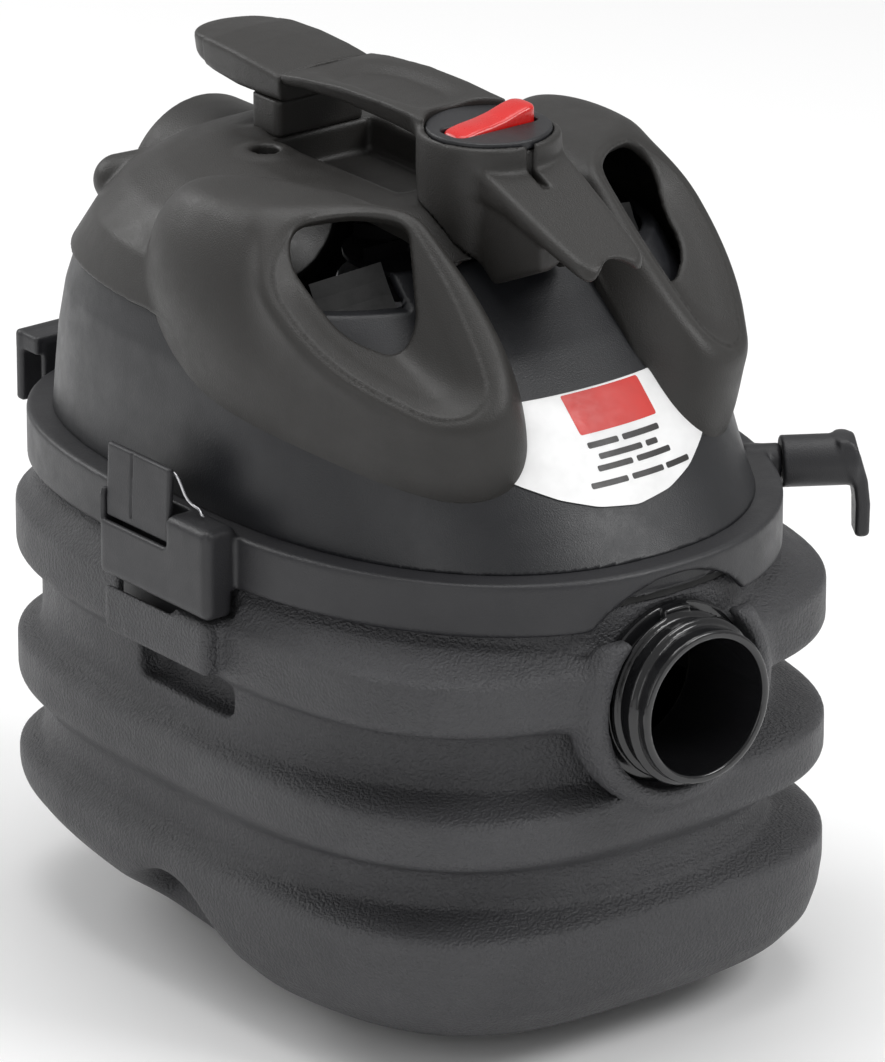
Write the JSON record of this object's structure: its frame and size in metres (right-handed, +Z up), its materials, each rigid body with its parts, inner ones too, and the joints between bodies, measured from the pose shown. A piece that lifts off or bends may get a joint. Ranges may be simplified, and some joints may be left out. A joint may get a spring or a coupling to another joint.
{
  "type": "shop vacuum",
  "caption": "Portable wet and dry shop vacuum with a ribbed drum tank, lift-off motor head with twin air scoops, side latches, carry handle, hose inlet and blower port.",
  "frame": {"origin": "middle of the flat underside of the tank, on the centre plane", "axes": "+Z up through the tank and the motor shaft; -Y towards the hose inlet; +X towards the side with the cord hook"},
  "size_m": [0.3232, 0.425, 0.413],
  "materials": {
    "tank_plastic": "coarse orange-peel grain",
    "lid_plastic": "fine grain, slight sheen",
    "cover_plastic": "fine grain, slight sheen",
    "panel_plastic": "satin",
    "gloss_plastic": "polished",
    "red_plastic": "semi-gloss",
    "label": "satin printed film",
    "steel": "bright zinc",
    "motor_metal": "satin",
    "rubber": "soft matt",
    "inner_plastic": "plain moulded",
    "filter_paper": "pleated paper"
  },
  "bodies": {
    "tank": {"tank": "tank_plastic", "inlet_collar": "gloss_plastic", "inlet_nut": "inner_plastic", "inlet_deflector": "inner_plastic"},
    "head": {"lid_ring": "lid_plastic", "lid_seal": "rubber", "head_housing": "cover_plastic", "top_cover": "cover_plastic", "cover_screw_left": "steel", "cover_screw_right": "steel", "front_panel": "panel_plastic", "nameplate": "label", "handle": "cover_plastic", "handle_cap": "cover_plastic", "switch_bezel": "panel_plastic", "switch_body": "inner_plastic", "blower_port": "cover_plastic", "motor_deck": "inner_plastic", "motor_can": "motor_metal", "motor_bearing_lower": "steel", "motor_bearing_upper": "steel", "fan_housing": "inner_plastic", "filter_cage": "inner_plastic", "scoop_baffle_left": "inner_plastic", "scoop_baffle_right": "inner_plastic", "latch_pin_left": "steel", "latch_pin_right": "steel", "latch_spring_left": "steel", "latch_spring_right": "steel", "rear_hook": "lid_plastic"},
    "latch_left": {"latch_left": "lid_plastic"},
    "latch_right": {"latch_right": "lid_plastic"},
    "rocker": {"rocker": "red_plastic"},
    "cord_hook": {"cord_hook": "lid_plastic"},
    "rotor": {"motor_shaft": "steel", "impeller": "inner_plastic", "cooling_fan": "inner_plastic"},
    "float": {"float_ball": "red_plastic"},
    "filter": {"filter_cartridge": "filter_paper"}
  },
  "joints": [
    {"name": "head_lift", "type": "slide", "parent": "tank", "child": "head", "axis": [0, 0, 1], "range_m": [0, 0.25]},
    {"name": "latch_left_hinge", "type": "hinge", "parent": "head", "child": "latch_left", "pos_m": [-0.143, 0.0185, 0.231], "axis": [0, 1, 0], "range_deg": [0, 7], "stiffness_Nm_per_rad": 0.5, "springref_deg": -2.86, "deforming": ["latch_spring_left"]},
    {"name": "latch_right_hinge", "type": "hinge", "parent": "head", "child": "latch_right", "pos_m": [0.143, 0.0185, 0.231], "axis": [0, -1, 0], "range_deg": [0, 7], "stiffness_Nm_per_rad": 0.5, "springref_deg": -2.86, "deforming": ["latch_spring_right"]},
    {"name": "rocker_tip", "type": "hinge", "parent": "head", "child": "rocker", "pos_m": [0, -0.046, 0.404], "axis": [0, 1, 0], "range_deg": [0, 12]},
    {"name": "hook_swivel", "type": "hinge", "parent": "head", "child": "cord_hook", "pos_m": [0.119, -0.0896, 0.23], "axis": [0.8486, -0.5291, 0], "range_deg": [-90, 90]},
    {"name": "rotor_spin", "type": "hinge", "parent": "head", "child": "rotor", "pos_m": [0, 0, 0.28], "axis": [0, 0, 1], "continuous": true},
    {"name": "float_rise", "type": "slide", "parent": "head", "child": "float", "axis": [0, 0, 1], "range_m": [0, 0.035]},
    {"name": "filter_drop", "type": "slide", "parent": "head", "child": "filter", "axis": [0, 0, -1], "range_m": [0, 0.085]}
  ]
}
